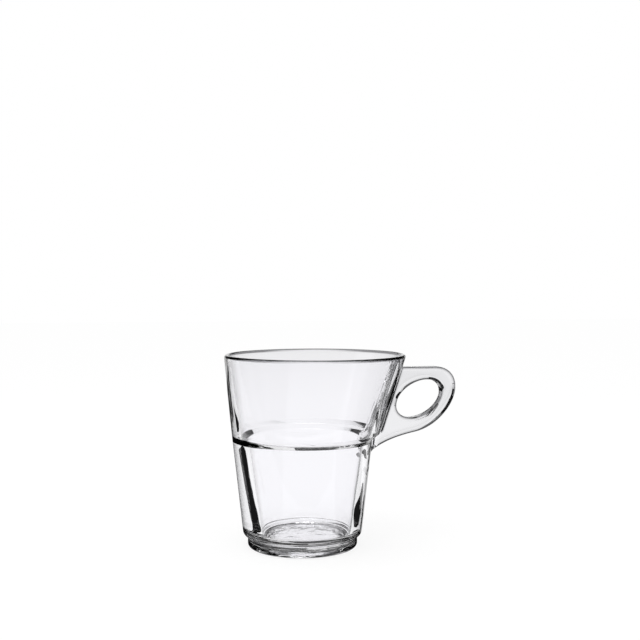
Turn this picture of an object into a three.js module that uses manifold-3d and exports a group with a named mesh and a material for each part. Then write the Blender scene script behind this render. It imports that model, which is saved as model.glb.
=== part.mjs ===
// A clear pressed-glass coffee cup with two tiers, a stacking foot and a pierced handle.
// Millimetres, +Z up, handle towards +X. The origin is the bottom centre of the whole cup's box.
import * as THREE from 'three';
import { mergeVertices } from 'three/addons/utils/BufferGeometryUtils.js';
import Module from 'manifold-3d';

const wasm = await Module();
wasm.setup();

// Heights above the table
const cupHeight = 88;
const shoulderHeight = 50.8;
const footHeight = 5;
const floorStep = 1;
const recessDepth = 2;

// Outside radii
const rimRadius = 41.8;
const shoulderRadius = 33.9;
const lowerTopRadius = 32.4;
const heelRadius = 27.2;
const footRadius = 25.2;

// The inside and the upper tier stand off the foot's axis, and the upper tier leans towards the handle
const shoulderOffset = 1.5;
const rimOffset = 6;

// Glass thickness, from the rim down to the standing ring
const rimWall = 2.3;
const upperWall = 3.4;
const lowerWall = 6.6;
const ringWidth = 4.9;

// Roundings
const shoulderLip = 1.2;
const ledgeRound = 0.8;
const ledgeFillet = 2.6;
const floorFillet = 3;
const heelRound = 2.4;
const footRound = 1.4;
const recessRound = 0.7;

// Handle: a flat lug with rounded edges, its top a little below the rim
const handleThickness = 8;
const handleRound = 2;
const handleDrop = 6.5;
const rootFillet = 2.6;

// The finger hole, a tilted oval given by its half lengths, and the web of glass between it and the wall
const holeLong = 12.4;
const holeShort = 8.8;
const holeTilt = THREE.MathUtils.degToRad(28);
const holeWeb = 2.9;

// The lug's outer oval: glass around the hole's half lengths, and its centre's shift from the hole's
const bandLong = 6.5;
const bandShort = 3.6;
const loopTilt = THREE.MathUtils.degToRad(40);
const loopShift = new THREE.Vector2(1.3, -0.5);

// The tail: its end below the shoulder, where it leaves the loop, and how far each end runs straight
const tailDrop = 8.8;
const tailSlope = THREE.MathUtils.degToRad(40);
const tailLeave = THREE.MathUtils.degToRad(-130);
const tailRun = 8;

// Gap kept between pieces that are cut by, or set into, one another
const fitClearance = 0.3;

// Fineness of the round forms
const aroundSteps = 72;
const cornerSteps = 6;
const ovalSteps = 32;
const tailSteps = 8;
const bevelSteps = 3;

// Levels and slopes that follow from the sizes above
const floorHeight = footHeight + floorStep;
const baseTop = floorHeight + floorFillet;
const ringInner = footRadius - ringWidth;
const recessRadius = ringInner - fitClearance;
const ledgeHeight = shoulderHeight + ledgeRound;
const tierRise = cupHeight - shoulderHeight;
const leanRate = (rimOffset - shoulderOffset) / tierRise;
const upperSlope = (rimRadius - shoulderRadius) / tierRise;
const lowerSlope = (lowerTopRadius - heelRadius) / (shoulderHeight - footHeight);

const upperOuter = (height) => shoulderRadius + upperSlope * (height - shoulderHeight);
const upperCentre = (height) => shoulderOffset + leanRate * (height - shoulderHeight);
const lowerOuter = (height) => heelRadius + lowerSlope * (height - footHeight);
const lowerInner = (height) => lowerOuter(height) - lowerWall;

const point = (across, height) => new THREE.Vector2(across, height);

// Part of a circle or an upright oval about a centre, as points of a profile
function arc(centre, width, height, fromDegrees, toDegrees) {
  const points = [];
  for (let step = 0; step <= cornerSteps; step += 1) {
    const degrees = THREE.MathUtils.lerp(fromDegrees, toDegrees, step / cornerSteps);
    const turn = THREE.MathUtils.degToRad(degrees);
    points.push(point(centre.x + width * Math.cos(turn), centre.y + height * Math.sin(turn)));
  }
  return points;
}

// A profile of radius and height, turned about the Z axis
const turned = (profile) => new THREE.LatheGeometry(profile, aroundSteps).rotateX(Math.PI / 2);

// A ring's profile comes back to its first point
const closed = (profile) => [...profile, profile[0].clone()];

// Shifts each level of the upper tier sideways, in proportion to its height
function leaned(geometry) {
  const shear = new THREE.Matrix4().set(
    1, 0, leanRate, upperCentre(0),
    0, 1, 0, 0,
    0, 0, 1, 0,
    0, 0, 0, 1,
  );
  return geometry.applyMatrix4(shear);
}

// Solids for joining and cutting, and back
function solidOf(geometry) {
  geometry.deleteAttribute('normal');
  geometry.deleteAttribute('uv');
  const merged = mergeVertices(geometry);
  return new wasm.Manifold(new wasm.Mesh({
    numProp: 3,
    vertProperties: merged.attributes.position.array,
    triVerts: new Uint32Array(merged.index.array),
  }));
}

function geometryOf(solid) {
  const mesh = solid.getMesh();
  const geometry = new THREE.BufferGeometry();
  geometry.setAttribute('position', new THREE.BufferAttribute(mesh.vertProperties, 3));
  geometry.setIndex(new THREE.BufferAttribute(mesh.triVerts, 1));
  geometry.computeVertexNormals();
  return geometry;
}

// Standing ring of the stacking foot, open in the middle
function footRing() {
  return turned(closed([
    ...arc(point(ringInner + recessRound, recessRound), recessRound, recessRound, 180, 270),
    ...arc(point(footRadius - footRound, footRound), footRound, footRound, -90, 0),
    point(footRadius, footHeight),
    point(ringInner, footHeight),
  ]));
}

// The room inside the lower tier, with a rounded floor edge, to cut out of the base and the wall
function lowerInside() {
  const floorEdge = point(lowerInner(baseTop) - floorFillet, baseTop);
  return turned([
    point(0, floorHeight),
    ...arc(floorEdge, floorFillet, floorFillet, -90, 0),
    point(lowerInner(ledgeHeight), ledgeHeight),
    point(0, ledgeHeight),
  ]).translate(shoulderOffset, 0, 0);
}

// Thick floor with the rounded heel; its middle reaches down inside the standing ring
function base() {
  const round = Math.min(heelRound, baseTop - footHeight);
  const heelTop = footHeight + round;
  const heelCentre = point(lowerOuter(heelTop) - round, heelTop);
  const block = turned([
    point(0, recessDepth),
    point(recessRadius, recessDepth),
    point(recessRadius, footHeight),
    ...arc(heelCentre, round, round, -90, 0),
    point(lowerOuter(baseTop), baseTop),
    point(0, baseTop),
  ]);
  return geometryOf(solidOf(block).subtract(solidOf(lowerInside())));
}

// Tapering wall between the floor and the shoulder, thicker at the back than at the handle
function lowerBowl() {
  const block = turned([
    point(0, baseTop),
    point(lowerOuter(baseTop), baseTop),
    point(lowerTopRadius, shoulderHeight),
    point(0, shoulderHeight),
  ]);
  return geometryOf(solidOf(block).subtract(solidOf(lowerInside())));
}

// Flared tier: rounded lip over the shoulder, rounded rim, and a ledge inside for stacking
function upperBowl() {
  const rimRound = rimWall / 2;
  const rimCentre = point(rimRadius - rimRound, cupHeight - rimRound);
  const lipCentre = point(shoulderRadius - shoulderLip, shoulderHeight + shoulderLip);
  const wallFoot = ledgeHeight + ledgeFillet;
  const filletCentre = point(upperOuter(wallFoot) - upperWall - ledgeFillet, wallFoot);
  const edgeCentre = point(lowerInner(shoulderHeight) + ledgeRound, shoulderHeight);
  return leaned(turned(closed([
    ...arc(lipCentre, shoulderLip, shoulderLip, -90, 0),
    ...arc(rimCentre, rimRound, rimRound, 0, 180),
    ...arc(filletCentre, ledgeFillet, ledgeFillet, 0, -90),
    ...arc(edgeCentre, ledgeRound, ledgeRound, 90, 180),
  ])));
}

// The outside of each tier, filled and grown by the clearance, to cut the handle's root
function upperCutter() {
  const start = shoulderHeight - fitClearance;
  return leaned(turned([
    point(0, start),
    point(upperOuter(start) + fitClearance, start),
    point(upperOuter(cupHeight) + fitClearance, cupHeight),
    point(0, cupHeight),
  ]));
}

function lowerCutter() {
  return turned([
    point(0, footHeight),
    point(lowerOuter(footHeight) + fitClearance, footHeight),
    point(lowerOuter(shoulderHeight) + fitClearance, shoulderHeight),
    point(0, shoulderHeight),
  ]);
}

// The handle's ovals: the loop hangs from the flat top, and the hole keeps its web to the wall
const wallAt = (height) => upperCentre(height) + upperOuter(height);
const loopLong = holeLong + bandLong;
const loopShort = holeShort + bandShort;
const handleTop = cupHeight - handleDrop;
const loopHalfHeight = Math.hypot(loopLong * Math.sin(loopTilt), loopShort * Math.cos(loopTilt));
const holeHalfWidth = Math.hypot(holeLong * Math.cos(holeTilt), holeShort * Math.sin(holeTilt));
const holeRise = handleTop - loopHalfHeight - loopShift.y;
const holeCentre = point(wallAt(holeRise) + holeWeb + holeHalfWidth, holeRise);
const loopCentre = holeCentre.clone().add(loopShift);

// A point of a tilted oval, at an angle counted from its long axis
function ovalPoint(centre, long, short, tilt, angle) {
  const spot = point(long * Math.cos(angle), short * Math.sin(angle));
  return spot.rotateAround(point(0, 0), tilt).add(centre);
}

const onLoop = (angle) => ovalPoint(loopCentre, loopLong, loopShort, loopTilt, angle);
const onHole = (angle) => ovalPoint(holeCentre, holeLong, holeShort, holeTilt, angle);

// The tail's lower edge, from the lower wall out to the loop, where it runs on without a kink
function tailSweep() {
  const tailRise = shoulderHeight - tailDrop;
  const start = point(lowerOuter(tailRise), tailRise);
  const end = onLoop(tailLeave);
  const smallTurn = THREE.MathUtils.degToRad(1);
  const fromStart = point(tailRun * Math.cos(tailSlope), tailRun * Math.sin(tailSlope));
  const fromEnd = onLoop(tailLeave - smallTurn).sub(end).setLength(tailRun);
  return new THREE.CubicBezierCurve(start, fromStart.add(start), fromEnd.add(end), end);
}

// Side outline of the lug: the tail's sweep, round the loop, and back along the flat top into the wall
function handleOutline() {
  const sweep = tailSweep().getPoints(tailSteps);
  const outline = [point(sweep[0].x - lowerWall, sweep[0].y), ...sweep];
  const topAngle = Math.atan2(loopShort * Math.cos(loopTilt), loopLong * Math.sin(loopTilt));
  for (let step = 1; step <= ovalSteps; step += 1) {
    outline.push(onLoop(THREE.MathUtils.lerp(tailLeave, topAngle, step / ovalSteps)));
  }
  const corner = point(wallAt(handleTop), handleTop);
  const fillet = new THREE.QuadraticBezierCurve(
    point(corner.x + rootFillet, handleTop),
    corner,
    point(corner.x, handleTop + rootFillet),
  );
  outline.push(...fillet.getPoints(cornerSteps), point(corner.x - upperWall, handleTop + rootFillet));
  return outline;
}

function fingerHole() {
  const outline = [];
  for (let step = 0; step < ovalSteps; step += 1) {
    outline.push(onHole(2 * Math.PI * step / ovalSteps));
  }
  return new THREE.Path(outline);
}

// The lug stands upright in the XZ plane, with half its thickness on each side
function lug() {
  const round = Math.min(handleRound, handleThickness / 3);
  const shape = new THREE.Shape(handleOutline());
  shape.holes.push(fingerHole());
  const geometry = new THREE.ExtrudeGeometry(shape, {
    depth: handleThickness - 2 * round,
    bevelThickness: round,
    bevelSize: round,
    bevelOffset: -round,
    bevelSegments: bevelSteps,
  });
  geometry.rotateX(Math.PI / 2);
  return geometry.translate(0, handleThickness / 2 - round, 0);
}

function handle() {
  const cut = solidOf(lug()).subtract(solidOf(upperCutter())).subtract(solidOf(lowerCutter()));
  return geometryOf(cut);
}

// Clear glass with a faint cool tint
function piece(name, geometry) {
  const glass = new THREE.MeshStandardMaterial({
    color: 0xeef0f5,
    roughness: 0.03,
    metalness: 0,
    transparent: true,
    opacity: 0.35,
  });
  const mesh = new THREE.Mesh(geometry, glass);
  mesh.name = name;
  return mesh;
}

const cup = new THREE.Group();
cup.add(
  piece('foot_ring', footRing()),
  piece('base', base()),
  piece('lower_bowl', lowerBowl()),
  piece('upper_bowl', upperBowl()),
  piece('handle', handle()),
);

// The whole cup is moved along X until its box is centred on the origin
const box = new THREE.Box3().setFromObject(cup);
cup.position.x = -(box.min.x + box.max.x) / 2;

export default cup;
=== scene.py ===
import math

import bmesh
import bpy
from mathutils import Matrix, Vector
from mathutils.geometry import delaunay_2d_cdt


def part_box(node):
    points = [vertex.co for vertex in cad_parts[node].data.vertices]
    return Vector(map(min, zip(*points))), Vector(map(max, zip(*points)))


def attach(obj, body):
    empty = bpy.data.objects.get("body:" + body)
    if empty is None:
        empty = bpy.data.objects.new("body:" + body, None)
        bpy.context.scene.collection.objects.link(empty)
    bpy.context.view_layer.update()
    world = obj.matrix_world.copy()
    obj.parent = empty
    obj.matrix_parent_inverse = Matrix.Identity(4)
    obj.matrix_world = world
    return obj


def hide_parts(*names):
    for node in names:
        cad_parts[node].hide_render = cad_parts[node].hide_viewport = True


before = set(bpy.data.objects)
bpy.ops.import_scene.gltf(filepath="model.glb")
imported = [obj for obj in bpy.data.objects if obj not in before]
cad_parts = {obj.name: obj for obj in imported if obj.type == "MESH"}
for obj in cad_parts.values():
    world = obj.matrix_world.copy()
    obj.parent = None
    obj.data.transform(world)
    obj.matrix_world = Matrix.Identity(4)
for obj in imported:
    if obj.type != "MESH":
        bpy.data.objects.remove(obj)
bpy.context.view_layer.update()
scene = bpy.context.scene
scene.view_settings.view_transform = "Standard"


# Camera. A plain product view from a little above the rim, about 45 cm in front of the cup and
# turned so that the handle points to the right and slightly away. It is placed from the foot's axis.
mm = 0.001
sensor_width, lens_length, nearest_seen = 36, 54.68, 0.01
camera_place = Vector((-80.75, -438.94, 118.455))
camera_dip, camera_turn = 0.033, 0.2

foot_low, foot_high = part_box("foot_ring")
axis_x = (foot_low.x + foot_high.x) / 2
foot_axis = Vector((axis_x, 0, 0))

camera_data = bpy.data.cameras.new("camera")
camera_data.sensor_width = sensor_width
camera_data.lens = lens_length
camera_data.clip_start = nearest_seen
camera = bpy.data.objects.new("camera", camera_data)
camera.location = foot_axis + camera_place * mm
camera.rotation_euler = (math.pi / 2 - camera_dip, 0, -camera_turn)
scene.collection.objects.link(camera)
scene.camera = camera


# Surroundings. A white studio all round: the same white meets the camera, the reflections and the
# light that has passed through the glass, while the floor is lit at a plain level.
sky_light = 1.05


def feed(tree, value, socket):
    """Link an output to a socket, or set the socket to a plain value."""
    if isinstance(value, bpy.types.NodeSocket):
        tree.links.new(value, socket)
    else:
        socket.default_value = value


def ramp(tree, value, start, stop, low=0.0, high=1.0):
    """An output that goes from low to high, and no further, as the value goes from start to stop."""
    node = tree.nodes.new("ShaderNodeMapRange")
    feed(tree, value, node.inputs["Value"])
    feed(tree, start, node.inputs["From Min"])
    feed(tree, stop, node.inputs["From Max"])
    feed(tree, low, node.inputs["To Min"])
    feed(tree, high, node.inputs["To Max"])
    return node.outputs["Result"]


def combined(tree, operation, *values):
    """One output worked out from several, two at a time."""
    total = values[0]
    for value in values[1:]:
        node = tree.nodes.new("ShaderNodeMath")
        node.operation = operation
        feed(tree, total, node.inputs[0])
        feed(tree, value, node.inputs[1])
        total = node.outputs[0]
    return total


def white_where_seen(tree):
    """1 for light met by the camera, off a glossy surface or out of glass, and 0 for the rest."""
    path = tree.nodes.new("ShaderNodeLightPath")
    kinds = ("Is Camera Ray", "Is Glossy Ray", "Is Transmission Ray")
    return combined(tree, "MAXIMUM", *[path.outputs[kind] for kind in kinds])


world = bpy.data.worlds.new("studio")
world.use_nodes = True
scene.world = world
tree = world.node_tree
tree.nodes.clear()
background = tree.nodes.new("ShaderNodeBackground")
background.inputs["Color"].default_value = (1, 1, 1, 1)
feed(tree, ramp(tree, white_where_seen(tree), 0, 1, sky_light, 1), background.inputs["Strength"])
world_out = tree.nodes.new("ShaderNodeOutputWorld")
feed(tree, background.outputs["Background"], world_out.inputs["Surface"])


# Floor. A white sheet under the cup. Most of its white is its own, so that it joins the background;
# the rest is lit, so that the cup's faint shadow still shows on it.
floor_half = 3
floor_drop = 0.15 * mm
floor_own = 0.85
floor_paint = (0.9, 0.9, 0.9, 1)
fade_near, fade_far, painted_far_level = 0.4, 1.2, 0.86


def bare_material(name):
    """A new material with no nodes in it yet."""
    material = bpy.data.materials.new(name)
    material.use_nodes = True
    material.node_tree.nodes.clear()
    return material


floor_mesh = bpy.data.meshes.new("floor")
floor_mesh.from_pydata(
    [(x * floor_half, y * floor_half, -floor_drop) for x, y in ((-1, -1), (1, -1), (1, 1), (-1, 1))],
    [],
    [(0, 1, 2, 3)],
)
floor = bpy.data.objects.new("floor", floor_mesh)
scene.collection.objects.link(floor)

floor_white = bare_material("floor_white")
floor_mesh.materials.append(floor_white)
tree = floor_white.node_tree
lit = tree.nodes.new("ShaderNodeBsdfDiffuse")
lit.inputs["Color"].default_value = floor_paint
place = tree.nodes.new("ShaderNodeNewGeometry")
away = tree.nodes.new("ShaderNodeVectorMath")
away.operation = "LENGTH"
feed(tree, place.outputs["Position"], away.inputs[0])
# Painted shade: seen in the glass and in reflections, the floor's own white is painted dimmer farther
# from the middle.
painted_dimming = ramp(tree, away.outputs["Value"], fade_near, fade_far, 1, painted_far_level)
path = tree.nodes.new("ShaderNodeLightPath")
own = tree.nodes.new("ShaderNodeEmission")
feed(tree, combined(tree, "MAXIMUM", path.outputs["Is Camera Ray"], painted_dimming), own.inputs["Strength"])
both = tree.nodes.new("ShaderNodeMixShader")
feed(tree, combined(tree, "MULTIPLY", white_where_seen(tree), floor_own), both.inputs["Fac"])
feed(tree, lit.outputs["BSDF"], both.inputs[1])
feed(tree, own.outputs["Emission"], both.inputs[2])
floor_out = tree.nodes.new("ShaderNodeOutputMaterial")
feed(tree, both.outputs["Shader"], floor_out.inputs["Surface"])


# Lamp. One broad soft box overhead, to the left and in front, which lights the floor and draws a soft
# gleam along the edges of the glass.
lamp_width, lamp_power = 0.5, 2
lamp_place, lamp_aim = Vector((-0.15, -0.2, 0.7)), Vector((0, 0, 0.04))

lamp_data = bpy.data.lights.new("soft_box", "AREA")
lamp_data.shape = "DISK"
lamp_data.size = lamp_width
lamp_data.energy = lamp_power
lamp = bpy.data.objects.new("soft_box", lamp_data)
lamp.location = foot_axis + lamp_place
lamp.rotation_euler = (lamp_aim - lamp_place).to_track_quat("-Z", "Y").to_euler()
scene.collection.objects.link(lamp)


# Flags. Clear glass on white is drawn by what is dark around it, so dark and grey cards stand beside,
# behind, under and above the cup. They glow their own grey and are seen only in the glass, and only from
# their front: painted dark reflections and refractions.
def flag(name, corners, grey, hidden_when=(), through_glass=True):
    """A one-sided card of one grey; hidden_when gives the counts of turns at which light misses it."""
    paint = bare_material(name)
    tree = paint.node_tree
    shade = tree.nodes.new("ShaderNodeEmission")
    shade.inputs["Color"].default_value = (grey, grey, grey, 1)
    nothing = tree.nodes.new("ShaderNodeBsdfTransparent")
    side = tree.nodes.new("ShaderNodeNewGeometry")
    path = tree.nodes.new("ShaderNodeLightPath")
    hidden = [side.outputs["Backfacing"]]
    for count, rule, limit in hidden_when:
        hidden.append(combined(tree, rule, path.outputs[count], limit))
    one_sided = tree.nodes.new("ShaderNodeMixShader")
    feed(tree, combined(tree, "MAXIMUM", *hidden), one_sided.inputs["Fac"])
    feed(tree, shade.outputs["Emission"], one_sided.inputs[1])
    feed(tree, nothing.outputs["BSDF"], one_sided.inputs[2])
    paint_out = tree.nodes.new("ShaderNodeOutputMaterial")
    feed(tree, one_sided.outputs["Shader"], paint_out.inputs["Surface"])
    mesh = bpy.data.meshes.new(name)
    mesh.from_pydata(corners, [], [tuple(range(len(corners)))])
    mesh.materials.append(paint)
    made = bpy.data.objects.new(name, mesh)
    made.visible_camera = False
    made.visible_diffuse = False
    made.visible_shadow = False
    made.visible_transmission = through_glass
    scene.collection.objects.link(made)


def on_floor(spots, lift):
    """Corners of a card that lies on the floor and faces up, whichever way round they are given."""
    area = sum(a[0] * b[1] - b[0] * a[1] for a, b in zip(spots, spots[1:] + spots[:1]))
    facing_up = spots if area > 0 else spots[::-1]
    return [(axis_x + x * mm, y * mm, lift * mm) for x, y in facing_up]


def sector(near, far, side_from, side_to, steps):
    """A piece of a flat ring round the foot's axis; its sides are in degrees, leftward from +X."""
    turns = [math.radians(side_from + (side_to - side_from) * step / steps) for step in range(steps + 1)]
    outer = [(far * math.cos(turn), far * math.sin(turn)) for turn in turns]
    inner = [(near * math.cos(turn), near * math.sin(turn)) for turn in turns]
    return outer + inner[::-1]


# Light that has crossed more than one wall misses most cards, so that they show less in other views.
# A few cards are for the second image alone, which turns once more within the wall.
through_wall = (("Transmission Depth", "GREATER_THAN", 2.5),)
second_turn = through_wall + (("Ray Depth", "LESS_THAN", 4.5), ("Ray Depth", "GREATER_THAN", 5.5))
black, wall_black = 0.01, 0.012

# Cards on the floor: name, lift, grey, what misses them, and corners in millimetres to the right of
# the foot's axis and behind it. They lie beside the lower tier, beyond the handle and by the foot.
inner_lift, card_lift, foot_lift, sheet_lift = -0.04, -0.06, -0.08, -0.1
floor_cards = [
    ("flag_right", card_lift, black, through_wall, [
        (43, -0.5), (51, -0.5), (57, 0), (62.5, 2.5), (68, 8.5), (72.7, 19), (77, 31), (82, 41),
        (88, 50), (84, 60), (76, 56), (68.5, 47), (58.5, 40), (53, 34), (49, 27), (45.5, 20.5),
        (42, 14.5), (41.5, 6),
    ]),
    ("flag_right_inner", inner_lift, black, second_turn, [
        (28, 24), (40, 12), (60, 26), (68, 46), (52, 58), (38, 50), (28, 38),
    ]),
    ("flag_tail", card_lift, black, through_wall, [
        (139, 40), (142, 54), (141, 68), (133, 86), (123, 90), (114, 97), (120.5, 79), (125.5, 66),
        (132.5, 55), (134.5, 43),
    ]),
    ("flag_tail_beside", card_lift, 0.08, (), [
        (102, 149), (107, 147), (112, 141), (117, 129), (121, 112), (124, 96), (119, 99), (113, 113),
        (108, 126), (105, 137),
    ]),
    ("flag_root", card_lift, 0.3, (), [
        (145, 122), (162, 122), (190, 205), (190, 245), (175, 245), (146, 228),
    ]),
    ("flag_root_near", card_lift, 0.12, (), [(122, 110), (142, 110), (145, 160), (125, 160)]),
    ("flag_left_floor", card_lift, black, through_wall, [
        (-37.5, 3), (-40, 3.2), (-42.5, 5.5), (-46.5, 10.5), (-53.5, 17), (-57, 21.5), (-60.5, 28),
        (-66.5, 39), (-73.5, 47), (-79.5, 61), (-84.5, 77), (-87, 88), (-72, 92), (-58, 78),
        (-53, 62), (-46, 48), (-41, 36), (-38.5, 27), (-36, 23), (-34, 19),
    ]),
    ("flag_left_inner", inner_lift, black, second_turn, [
        (-20, 26), (-20, 60), (-17, 92), (-14, 150), (-34, 195), (-72, 195), (-74, 118), (-46, 108),
        (-36, 92), (-36, 70), (-35, 40), (-32, 26),
    ]),
    ("flag_left_strip", card_lift, black, through_wall, [
        (-103, 163), (-105, 178), (-108, 192), (-114, 216), (-119, 228), (-122, 212), (-124, 190),
        (-128, 166), (-130, 146), (-119, 138), (-108, 150),
    ]),
    ("flag_left_edge", card_lift, 0.02, through_wall, [
        (-50, 232), (-84, 212), (-92, 240), (-99, 266), (-109, 294), (-114, 326), (-128, 357),
        (-165, 400), (-205, 440), (-60, 500), (-84, 390), (-74, 352), (-64, 320), (-55, 290),
        (-48, 260),
    ]),
    # A painted shadow: a dark card under the front of the foot, seen only through the glass.
    ("flag_foot", foot_lift, 0.06, (), [
        (-13, -20), (-5, -23.5), (5, -23.5), (13, -20), (19, -14), (22, -9), (14, -12), (6, -13.5),
        (-6, -13.5),
    ]),
    ("flag_behind", card_lift, 0.1, through_wall, sector(28, 43, 54, 102, 4)),
]
for name, lift, grey, missed, corners in floor_cards:
    flag(name, on_floor(corners, lift), grey, missed)

# A painted shadow under the foot: a dark grey ring under the hollow, seen only through the glass, in
# short pieces.
ring_near, ring_far, ring_steps, ring_shadow_grey = 17.4, 19.2, 36, 0.05
for step in range(ring_steps):
    piece = sector(ring_near, ring_far, 360 * step / ring_steps, 360 * (step + 1) / ring_steps, 1)
    flag(f"painted_hollow_shadow_{step}", on_floor(piece, foot_lift), ring_shadow_grey)

# Black sheets all round, for reflections alone: name, where they start, and their two sides.
sheet_reach, sheet_steps = 650, 24
sheets = [
    ("flag_floor_right", 1, -50, 12),
    ("flag_floor_behind", 240, 12, 88),
    ("flag_floor_left", 1, 88, 230),
]
for name, near, side_from, side_to in sheets:
    sheet = sector(near, sheet_reach, side_from, side_to, sheet_steps)
    flag(name, on_floor(sheet, sheet_lift), black, through_glass=False)

# Two upright cards: close on the left, edge-on to the back left corner, given by the distance along it
# and the height; and low behind the foot on the right.
left_bearing = math.radians(-50)
left_offset = -13
left_corners = [
    (36, 0), (76, 0), (68, 10), (62, 17), (60, 24), (58, 32), (50, 36.5), (41, 41), (30.5, 43),
    (29.5, 33), (28.3, 22), (28, 9), (30, 4),
]
left_along = Vector((math.sin(left_bearing), math.cos(left_bearing), 0))
left_facing = Vector((left_along.y, -left_along.x, 0))
flag("flag_left", [
    foot_axis + (left_facing * left_offset + left_along * out + Vector((0, 0, height))) * mm
    for out, height in reversed(left_corners)
], black, through_wall)
back_away, back_grey = 46, 0.04
back_corners = [(8, -0.05), (44, -0.05), (44, 16), (8, 16)]
flag("flag_foot_back", [
    foot_axis + Vector((across, back_away, height)) * mm for across, height in back_corners
], back_grey, through_wall)

# Far walls and a ceiling, dark but for two gaps: behind the cup, and across from its handle. The gaps
# turn grey higher up. Bearings are in degrees rightward from +Y, and heights in metres.
wall_away, wall_top, wall_strip = 1.5, 1.6, 15
ceiling_reach, ceiling_sides = 1.6, 48
walls = [
    ("flag_far_left", -75, -18, 0.05, wall_black),
    ("flag_far_left_high", -18, -7, 0.24, wall_black),
    ("flag_gap_back", -7, 21, 0.52, 0.28),
    ("flag_gap_back_right", 21, 36, 0.24, 0.06),
    ("flag_far_right", 36, 255, 0.05, wall_black),
    ("flag_gap_side", 255, 285, 0.35, 0.6),
]
for name, bearing_from, bearing_to, bottom, grey in walls:
    strips = max(3, round((bearing_to - bearing_from) / wall_strip))
    edges = []
    for strip in range(strips + 1):
        turn = math.radians(bearing_from + (bearing_to - bearing_from) * strip / strips)
        edges.append((axis_x + wall_away * math.sin(turn), wall_away * math.cos(turn)))
    for strip, (left, right) in enumerate(zip(edges, edges[1:])):
        flag(f"{name}_{strip}", [
            (*left, bottom), (*right, bottom), (*right, wall_top), (*left, wall_top),
        ], grey)
ceiling_turns = [-2 * math.pi * side / ceiling_sides for side in range(ceiling_sides)]
flag("flag_ceiling", [
    (axis_x + ceiling_reach * math.cos(turn), ceiling_reach * math.sin(turn), wall_top)
    for turn in ceiling_turns
], wall_black)


# Cup body, outside. The whole cup is one pressing of clear soda glass. A hollowed foot with a flat
# standing ring carries a rounded heel and a tapering lower tier; the flared upper tier stands off the
# foot's axis and leans on towards the handle, so that it overhangs most above the handle's root.
cup_height = 88.0
hollow_depth, hollow_flat, ring_inner = 2.0, 18.4, 21.4
foot_radius, foot_round, foot_height = 25.2, 1.4, 5
groove_low, groove_high = 4.2, 4.95
heel_radius, heel_round, heel_under = 27.2, 2.4, -68
lower_top, lower_top_radius = 50.8, 32.4
shoulder_radius, shoulder_offset, shoulder_half = 33.9, 1.5, 1.6
lip_round, lip_under = 0.6, -30
rim_radius, rim_offset, rim_round = 41.8, 6, 1.15
corner_steps, heel_steps, rim_steps = 8, 10, 20
hollow_steps, hollow_edge_steps, foot_steps, groove_steps = 6, 12, 3, 4
lower_steps, upper_steps = 42, 36


def arc(across, height, radius, from_degrees, to_degrees, steps=corner_steps):
    """Points of a rounding as (distance from the axis, height), in millimetres."""
    points = []
    for step in range(steps + 1):
        turn = math.radians(from_degrees + (to_degrees - from_degrees) * step / steps)
        points.append((across + radius * math.cos(turn), height + radius * math.sin(turn)))
    return points


def run(start, end, steps):
    """Points along a straight stretch of the profile, without its two ends."""
    return [
        (start[0] + (end[0] - start[0]) * step / steps, start[1] + (end[1] - start[1]) * step / steps)
        for step in range(1, steps)
    ]


def lower_outer(height):
    """The outer radius of the lower tier at a height."""
    widening = lower_top_radius - heel_radius
    return heel_radius + widening * (height - foot_height) / (lower_top - foot_height)


def upper_outer(height):
    """The outer radius of the upper tier at a height."""
    widening = rim_radius - shoulder_radius
    return shoulder_radius + widening * (height - lower_top) / (cup_height - lower_top)


def upper_centre(height):
    """How far the upper tier's centre stands off the foot's axis at a height."""
    leaning = rim_offset - shoulder_offset
    return shoulder_offset + leaning * (height - lower_top) / (cup_height - lower_top)


hollow = [(hollow_flat * step / hollow_steps, hollow_depth) for step in range(1, hollow_steps)]
for step in range(hollow_edge_steps + 1):
    part = step / hollow_edge_steps
    hollow.append((
        hollow_flat + (ring_inner - hollow_flat) * part,
        hollow_depth * (1 + math.cos(math.pi * part)) / 2,
    ))
foot = run((ring_inner, 0), (foot_radius - foot_round, 0), foot_steps)
foot += arc(foot_radius - foot_round, foot_round, foot_round, -90, 0)
foot += run((foot_radius, foot_round), (foot_radius, groove_low), foot_steps)

heel_top = foot_height + heel_round
heel = arc(lower_outer(heel_top) - heel_round, heel_top, heel_round, heel_under, 0, heel_steps)
for step in range(groove_steps):
    part = step / groove_steps
    foot.append(tuple(
        a * (1 - part) ** 2 + 2 * b * part * (1 - part) + c * part ** 2
        for a, b, c in zip((foot_radius, groove_low), (foot_radius, groove_high), heel[0])
    ))

wall_end = (lower_outer(lower_top - shoulder_half), lower_top - shoulder_half)
lower_wall = run(heel[-1], wall_end, lower_steps) + [wall_end]
outside_rings = [(0.0, across, height) for across, height in hollow + foot + heel + lower_wall]

lip_height = lower_top + shoulder_half
lip = arc(upper_outer(lip_height) - lip_round, lip_height, lip_round, lip_under, 0)
rim = arc(rim_radius - rim_round, cup_height - rim_round, rim_round, 0, 180, rim_steps)
upper_wall = run(lip[-1], rim[0], upper_steps)
outside_rings += [(upper_centre(height), across, height) for across, height in lip + upper_wall + rim]


# Cup body, inside. A plunger forms it: a smooth flared wall, a sloping ledge on which the foot of a
# second cup rests when they are stacked, and a tapered well with a rounded floor edge.
floor_height = 6.0
well_offset = 1.2
ledge_height = 48.6
inside_corners = [(30.05, 50.8, 1.2), (26.65, 48.7, 1.2), (20.5, floor_height, 3.0)]
inside_pitch = 1.2
around_steps = 216


def inside_centre(height):
    if height > lower_top:
        return upper_centre(height)
    part = max(0.0, (height - ledge_height) / (lower_top - ledge_height))
    return well_offset + (upper_centre(lower_top) - well_offset) * part


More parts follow.
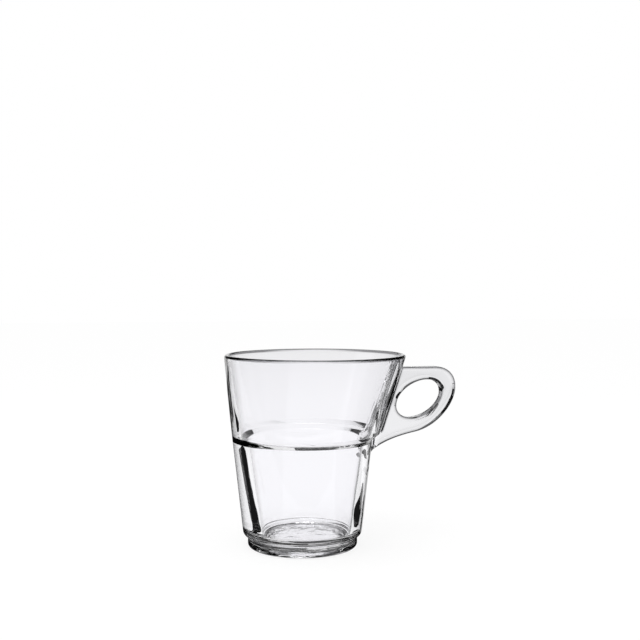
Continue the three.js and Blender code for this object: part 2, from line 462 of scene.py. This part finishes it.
def rounded(corners):
    """A profile through corners of (across, height, rounding), with each corner rounded off."""
    points = [corners[0][:2]]
    for before, (across, height, radius), after in zip(corners, corners[1:], corners[2:]):
        corner = Vector((across, height))
        back = (Vector(before[:2]) - corner).normalized()
        ahead = (Vector(after[:2]) - corner).normalized()
        half_angle = back.angle(ahead) / 2
        centre = corner + (back + ahead).normalized() * (radius / math.sin(half_angle))
        start = corner + back * (radius / math.tan(half_angle)) - centre
        sweep = start.angle_signed(corner + ahead * (radius / math.tan(half_angle)) - centre)
        for step in range(corner_steps + 1):
            turn = -sweep * step / corner_steps
            points.append((
                centre.x + start.x * math.cos(turn) - start.y * math.sin(turn),
                centre.y + start.x * math.sin(turn) + start.y * math.cos(turn),
            ))
    return points + [corners[-1][:2]]


def stretched(points, pitch):
    """The same profile with points added so that none of its runs is longer than the pitch."""
    full = points[:1]
    for start, end in zip(points, points[1:]):
        steps = max(1, math.ceil(math.dist(start, end) / pitch))
        full += run(start, end, steps) + [end]
    return full


inside = stretched(rounded([(*rim[-1], 0), *inside_corners, (0, floor_height, 0)]), inside_pitch)
inside_rings = [(inside_centre(height), across, height) for across, height in inside[1:-1]]

# The rings are joined into one closed skin, from the middle of the hollow to the middle of the floor.
body = bmesh.new()
rows = []
for centre, across, height in outside_rings + inside_rings:
    row = []
    for step in range(around_steps):
        turn = 2 * math.pi * step / around_steps
        spot = Vector((centre + across * math.cos(turn), across * math.sin(turn), height)) * mm
        row.append(body.verts.new(spot + foot_axis))
    rows.append(row)
for near, far in zip(rows, rows[1:]):
    for step in range(around_steps):
        after = (step + 1) % around_steps
        body.faces.new((near[step], near[after], far[after], far[step]))
for row, height, centre in ((rows[0], hollow_depth, 0.0), (rows[-1], floor_height, well_offset)):
    middle = body.verts.new((axis_x + centre * mm, 0, height * mm))
    for step in range(around_steps):
        after = (step + 1) % around_steps
        body.faces.new((middle, row[step], row[after]))
bmesh.ops.recalc_face_normals(body, faces=body.faces)
body_mesh = bpy.data.meshes.new("cup")
body.to_mesh(body_mesh)
body.free()
cup = bpy.data.objects.new("cup", body_mesh)
scene.collection.objects.link(cup)


# Handle. A flat lug of solid glass, pressed with the body: a tilted loop round one oval finger hole,
# with a tail that runs down over the shoulder. Its edges are rounded and its root flares into the wall.
handle_half, handle_round, handle_round_steps = 4.0, 2.0, 7
handle_top = cup_height - 6.5
hole_long, hole_short, hole_tilt, hole_steps = 11.9, 7.8, math.radians(28), 96
hole_from_wall, hole_rise = 14.6, 0.5
loop_long, loop_short, loop_tilt, loop_steps = 18.9, 12.4, math.radians(40), 84
loop_shift = Vector((1.3, -0.5))
tail_height = lower_top - 8.8
tail_slope, tail_run, tail_steps = math.radians(40), 8.0, 28
tail_leave, tail_nudge, tail_sink = math.radians(-130), 0.01, 3.2
top_spots = (10, 8, 6, 4.5, 3.5, 2.8, 2.2, 1.7, 1.3, 0.9, 0.6, 0.3)
root_sink, root_deeper = 1.3, 0.2
root_heights = (75, 69, 63, 57)
root_foot = ((34.6, 53.4), (31.8, 50.9), (28.7, 49.5))
flare, flare_reach, wall_lean = 1.8, 8.0, 0.95
flare_pitch, flare_margin = 0.7, 0.3
flare_spots = (-0.5, 0.0, 0.25, 0.5, 0.8, 1.15, 1.6, 2.2, 3.0)
step_below, step_run = 0.6, 1.8
sharpest, drawn_tolerance, weld_distance = 0.3, 1e-6, 1e-7


def upper_wall_x(height):
    return upper_centre(height) + upper_outer(height)


def oval(centre, long, short, tilt, angle):
    along, across = long * math.cos(angle), short * math.sin(angle)
    return Vector((
        centre.x + along * math.cos(tilt) - across * math.sin(tilt),
        centre.y + along * math.sin(tilt) + across * math.cos(tilt),
    ))


def bezier(points, part):
    points = [Vector(point) for point in points]
    while len(points) > 1:
        points = [a.lerp(b, part) for a, b in zip(points, points[1:])]
    return points[0]


# Side outline, anticlockwise: tail, loop, flat top, and back down inside the wall.
loop_rise = math.hypot(loop_long * math.sin(loop_tilt), loop_short * math.cos(loop_tilt))
hole_height = handle_top - loop_rise + hole_rise
hole_centre = Vector((upper_wall_x(hole_height) + hole_from_wall, hole_height))
loop_centre = hole_centre + loop_shift
tail_start = Vector((lower_outer(tail_height), tail_height))
tail_end = oval(loop_centre, loop_long, loop_short, loop_tilt, tail_leave)
tail_aim = tail_end - oval(loop_centre, loop_long, loop_short, loop_tilt, tail_leave + tail_nudge)
tail_curve = (
    tail_start,
    tail_start + tail_run * Vector((math.cos(tail_slope), math.sin(tail_slope))),
    tail_end + tail_run * tail_aim.normalized(),
    tail_end,
)
outline = [tail_start - tail_sink * Vector((1, math.tan(tail_slope)))]
outline += [bezier(tail_curve, step / tail_steps) for step in range(tail_steps)]
top_angle = math.atan2(loop_short * math.cos(loop_tilt), loop_long * math.sin(loop_tilt))
for step in range(loop_steps + 1):
    angle = tail_leave + (top_angle - tail_leave) * step / loop_steps
    outline.append(oval(loop_centre, loop_long, loop_short, loop_tilt, angle))
corner_x = upper_wall_x(handle_top)
outline += [Vector((corner_x + out, handle_top)) for out in top_spots]
outline.append(Vector((corner_x - root_sink, handle_top)))
for height in root_heights:
    outline.append(Vector((upper_wall_x(height) - root_sink - root_deeper, height)))
outline += [Vector(spot) for spot in root_foot]
hole = [
    oval(hole_centre, hole_long, hole_short, hole_tilt, -2 * math.pi * step / hole_steps)
    for step in range(hole_steps)
]


def inset(loop, depth):
    """The loop moved into the glass by a depth; the glass lies to the left of its direction."""
    moved = []
    for index, spot in enumerate(loop):
        before = (spot - loop[index - 1]).normalized()
        after = (loop[(index + 1) % len(loop)] - spot).normalized()
        along = (before + after).normalized()
        left = Vector((-along.y, along.x))
        moved.append(spot + left * (depth / max(sharpest, along.dot(after))))
    return moved


def root_distance(spot):
    """How far a point of the side view stands out from the wall that carries the handle."""
    blend = min(1.0, max(0.0, (spot.y - (lower_top - step_below)) / step_run))
    low = lower_outer(min(spot.y, lower_top))
    high = upper_wall_x(max(spot.y, lower_top))
    return (spot.x - (low + (high - low) * blend)) * wall_lean


def flared(spot, side):
    """A point of the side view as a place in the cup, spread out where it comes near the wall."""
    near = max(0.0, min(1.0, 1 - root_distance(spot) / flare))
    spread = flare * near * near
    wide = side * (1 + spread / handle_half)
    lift = spread * max(0.0, 1 - (handle_top - spot.y) / flare_reach) ** 2
    return Vector((axis_x + spot.x * mm, wide * mm, (spot.y + lift) * mm))


# The rounded edges, outside and in the hole.
lug = bmesh.new()
levels = []
for step in range(-handle_round_steps, handle_round_steps + 1):
    turn = math.radians(90 * abs(step) / handle_round_steps)
    side = (handle_half - handle_round + handle_round * math.sin(turn)) * (1 if step > 0 else -1)
    levels.append((handle_round * (1 - math.cos(turn)), side))
levels[handle_round_steps] = (0.0, handle_round - handle_half)
levels.insert(handle_round_steps + 1, (0.0, handle_half - handle_round))
for loop in (outline, hole):
    skins = []
    for depth, side in levels:
        skins.append([lug.verts.new(flared(spot, side)) for spot in inset(loop, depth)])
    for near, far in zip(skins, skins[1:]):
        for index in range(len(loop)):
            after = (index + 1) % len(loop)
            lug.faces.new((near[index], near[after], far[after], far[index]))


# The two flat faces, with extra points near the wall for the flare.
def encloses(loop, spot):
    """Whether a loop of the side view goes round a point."""
    inside = False
    for a, b in zip(loop, loop[1:] + loop[:1]):
        if (a.y > spot.y) != (b.y > spot.y):
            crossing = a.x + (b.x - a.x) * (spot.y - a.y) / (b.y - a.y)
            inside = inside != (spot.x < crossing)
    return inside


def in_face(spot, margin):
    """Whether a point lies on the flat of the handle, at least a margin from its edges."""
    if not encloses(face_outline, spot) or encloses(face_hole, spot):
        return False
    return all((spot - edge).length > margin for edge in face_outline + face_hole)


face_outline = inset(outline, handle_round)
face_hole = inset(hole, handle_round)
edges = []
for loop, first in ((face_outline, 0), (face_hole, len(face_outline))):
    edges += [(first + index, first + (index + 1) % len(loop)) for index in range(len(loop))]
spots = face_outline + face_hole
flare_rows = int((handle_top - tail_height) / flare_pitch)
for out in flare_spots:
    for row in range(flare_rows):
        height = tail_height + row * flare_pitch
        spot = Vector((out / wall_lean, height))
        spot.x -= root_distance(Vector((0, height))) / wall_lean
        if in_face(spot, flare_margin):
            spots.append(spot)
spots, _, faces, _, _, _ = delaunay_2d_cdt(spots, edges, [], 1, drawn_tolerance)
faces = [
    face for face in faces
    if in_face(sum((spots[index] for index in face), Vector((0, 0))) / len(face), 0)
]
for side in (-handle_half, handle_half):
    made = [lug.verts.new(flared(spot, side)) for spot in spots]
    for face in faces:
        lug.faces.new([made[index] for index in face])
bmesh.ops.remove_doubles(lug, verts=lug.verts, dist=weld_distance)
loose = [vert for vert in lug.verts if not vert.link_faces]
bmesh.ops.delete(lug, geom=loose, context="VERTS")
bmesh.ops.recalc_face_normals(lug, faces=lug.faces)
lug_mesh = bpy.data.meshes.new("handle")
lug.to_mesh(lug_mesh)
lug.free()
lug_object = bpy.data.objects.new("handle_lug", lug_mesh)
scene.collection.objects.link(lug_object)


# One pressing. Body and handle leave the mould as one piece of glass, with no joint between them, so
# they become one closed skin here, shaded smoothly across its roundings.
area_weight = 60

join = cup.modifiers.new("join", "BOOLEAN")
join.operation = "UNION"
join.solver = "EXACT"
join.object = lug_object
bpy.context.view_layer.update()
joined = bpy.data.meshes.new_from_object(cup.evaluated_get(bpy.context.evaluated_depsgraph_get()))
joined.name = "cup"
cup.modifiers.clear()
cup.data = joined
bpy.data.objects.remove(lug_object)
for face in joined.polygons:
    face.use_smooth = True
even = cup.modifiers.new("even_shading", "WEIGHTED_NORMAL")
even.mode = "FACE_AREA"
even.weight = area_weight
even.keep_sharp = False


# Clear glass. Pressed and fire-polished soda glass with a faint cool tint, slightly wavy from the mould
# and stippled in the hollow under the foot. Its base colour is painted dark as shade where it is seen
# edge-on: along the rim and round the handle, and as a painted near-black line of shade, with its
# reflection turned off, where the wall turns away beside the handle's root.
glass_clear = (0.975, 0.973, 0.992, 1)
painted_edge_shade = (0.08, 0.08, 0.085, 1)
handle_clear = (0.84, 0.84, 0.856, 1)
painted_root_shade = (0.001, 0.001, 0.001, 1)
glass_bend = 1.52
gleam_tint, gleam_level = (0.6, 0.6, 0.62, 1), 0.5
upright_from, upright_to = 0.45, 0.75
high_from, high_to = 56 * mm, 62 * mm
handle_out_from, handle_out_to = 0.3 * mm, 1.3 * mm
handle_low_from, handle_low_to = 43 * mm, 45 * mm
edge_blend, edge_from, edge_to = 0.5, 0.6, 1
handle_edge_from, handle_edge_to, handle_edge_within = 0.08, 0.38, 0.4
rim_deep, rim_soft = 1.5, 0.5
rim_from, rim_to, rim_dark = 0.0, 0.2, 0.97
line_from, line_to = 0.7, 0.78
line_wide, line_wide_soft = 22 * mm, 3 * mm
line_reach, line_reach_soft = 7.5 * mm, 1 * mm
line_top_from, line_top_to = 0.5, 2.5
wave_scale, wave_detail, wave_depth = 70, 1, 0.06 * mm
stipple_scale, stipple_detail, stipple_depth = 180, 2, 0.25 * mm
stipple_from, stipple_to = 0.2 * mm, 0.6 * mm
dull_from, dull_to, dull_most = 0.35, 0.75, 0.02


def tinted(tree, share, first, second):
    """A colour that goes from the first to the second by a share."""
    node = tree.nodes.new("ShaderNodeMix")
    node.data_type = "RGBA"
    feed(tree, share, node.inputs["Factor"])
    feed(tree, first, node.inputs["A"])
    feed(tree, second, node.inputs["B"])
    return node.outputs["Result"]


clear_glass = bpy.data.materials.new("clear_glass")
clear_glass.use_nodes = True
tree = clear_glass.node_tree
shader = tree.nodes["Principled BSDF"]
place = tree.nodes.new("ShaderNodeNewGeometry")
within = place.outputs["Backfacing"]
spot = tree.nodes.new("ShaderNodeSeparateXYZ")
feed(tree, place.outputs["Position"], spot.inputs["Vector"])
height = spot.outputs["Z"]
facing = tree.nodes.new("ShaderNodeSeparateXYZ")
feed(tree, place.outputs["Normal"], facing.inputs["Vector"])
turned_away = tree.nodes.new("ShaderNodeLayerWeight")
turned_away.inputs["Blend"].default_value = edge_blend
edge_on = turned_away.outputs["Facing"]

# Where the handle is: out past the leaning wall, and above the end of the tail.
wall_slope = (upper_wall_x(cup_height) - upper_wall_x(lower_top)) / (cup_height - lower_top)
wall_line = axis_x + (upper_wall_x(lower_top) - lower_top * wall_slope) * mm
from_wall = combined(tree, "ADD", combined(tree, "MULTIPLY", height, -wall_slope), spot.outputs["X"])
on_handle = combined(
    tree, "MULTIPLY",
    ramp(tree, from_wall, wall_line + handle_out_from, wall_line + handle_out_to),
    ramp(tree, height, handle_low_from, handle_low_to),
)

# Painted shade on the edges of upright walls, of the whole upper tier and of the handle, and painted
# shade on the rim.
upright = combined(tree, "ABSOLUTE", facing.outputs["Z"], 0)
has_edge = combined(
    tree, "MAXIMUM",
    ramp(tree, upright, upright_from, upright_to, 1, 0),
    ramp(tree, height, high_from, high_to),
    on_handle,
)
edge = ramp(
    tree, edge_on,
    ramp(tree, on_handle, 0, 1, edge_from, handle_edge_from),
    ramp(tree, on_handle, 0, 1, edge_to, handle_edge_to),
)
within_handle = combined(tree, "MULTIPLY", within, on_handle)
softer = ramp(tree, within_handle, 0, 1, 1, handle_edge_within)
painted_edge_share = combined(tree, "MULTIPLY", edge, has_edge, softer)
rim_low = (cup_height - rim_deep) * mm
painted_rim_share = combined(
    tree, "MULTIPLY",
    ramp(tree, height, rim_low, rim_low + rim_soft * mm, 0, rim_dark),
    ramp(tree, edge_on, rim_from, rim_to),
)
painted_shade_share = combined(tree, "MAXIMUM", painted_edge_share, painted_rim_share)

# The painted line of shade beside the root, where the reflection is also turned off: only on the outside
# of the wall, near the handle and below its top.
sideways = combined(tree, "ABSOLUTE", spot.outputs["Y"], 0)
line_start = wall_line - line_reach
painted_root_share = combined(
    tree, "MULTIPLY",
    ramp(tree, edge_on, line_from, line_to),
    ramp(tree, within, 0, 1, 1, 0),
    ramp(tree, sideways, line_wide, line_wide + line_wide_soft, 1, 0),
    ramp(tree, from_wall, line_start, line_start + line_reach_soft),
    ramp(tree, height, (handle_top + line_top_from) * mm, (handle_top + line_top_to) * mm, 1, 0),
    ramp(tree, on_handle, 0, 1, 1, 0),
)
clear = tinted(tree, on_handle, glass_clear, handle_clear)
edge_shaded = tinted(tree, painted_shade_share, clear, painted_edge_shade)
feed(tree, tinted(tree, painted_root_share, edge_shaded, painted_root_shade), shader.inputs["Base Color"])
feed(tree, ramp(tree, painted_root_share, 0, 1, gleam_level, 0), shader.inputs["Specular IOR Level"])

# Waves of the mould all over, and the stipple under the foot.
coords = tree.nodes.new("ShaderNodeTexCoord")
noises = []
for scale, detail in ((wave_scale, wave_detail), (stipple_scale, stipple_detail)):
    noise = tree.nodes.new("ShaderNodeTexNoise")
    noise.inputs["Scale"].default_value = scale
    noise.inputs["Detail"].default_value = detail
    feed(tree, coords.outputs["Object"], noise.inputs["Vector"])
    noises.append(noise.outputs["Fac"])
waves, stipple = noises
hollow_top = hollow_depth * mm
under_foot = ramp(tree, height, hollow_top + stipple_from, hollow_top + stipple_to, stipple_depth, 0)
relief = combined(
    tree, "ADD",
    combined(tree, "MULTIPLY", waves, wave_depth),
    combined(tree, "MULTIPLY", stipple, under_foot),
)
bump = tree.nodes.new("ShaderNodeBump")
bump.inputs["Distance"].default_value = 1
feed(tree, relief, bump.inputs["Height"])
feed(tree, bump.outputs["Normal"], shader.inputs["Normal"])
feed(tree, ramp(tree, waves, dull_from, dull_to, 0, dull_most), shader.inputs["Roughness"])
shader.inputs["IOR"].default_value = glass_bend
shader.inputs["Specular Tint"].default_value = gleam_tint
shader.inputs["Metallic"].default_value = 0
shader.inputs["Transmission Weight"].default_value = 1
joined.materials.clear()
joined.materials.append(clear_glass)

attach(cup, "root")
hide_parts("foot_ring", "base", "lower_bowl", "upper_bowl", "handle")
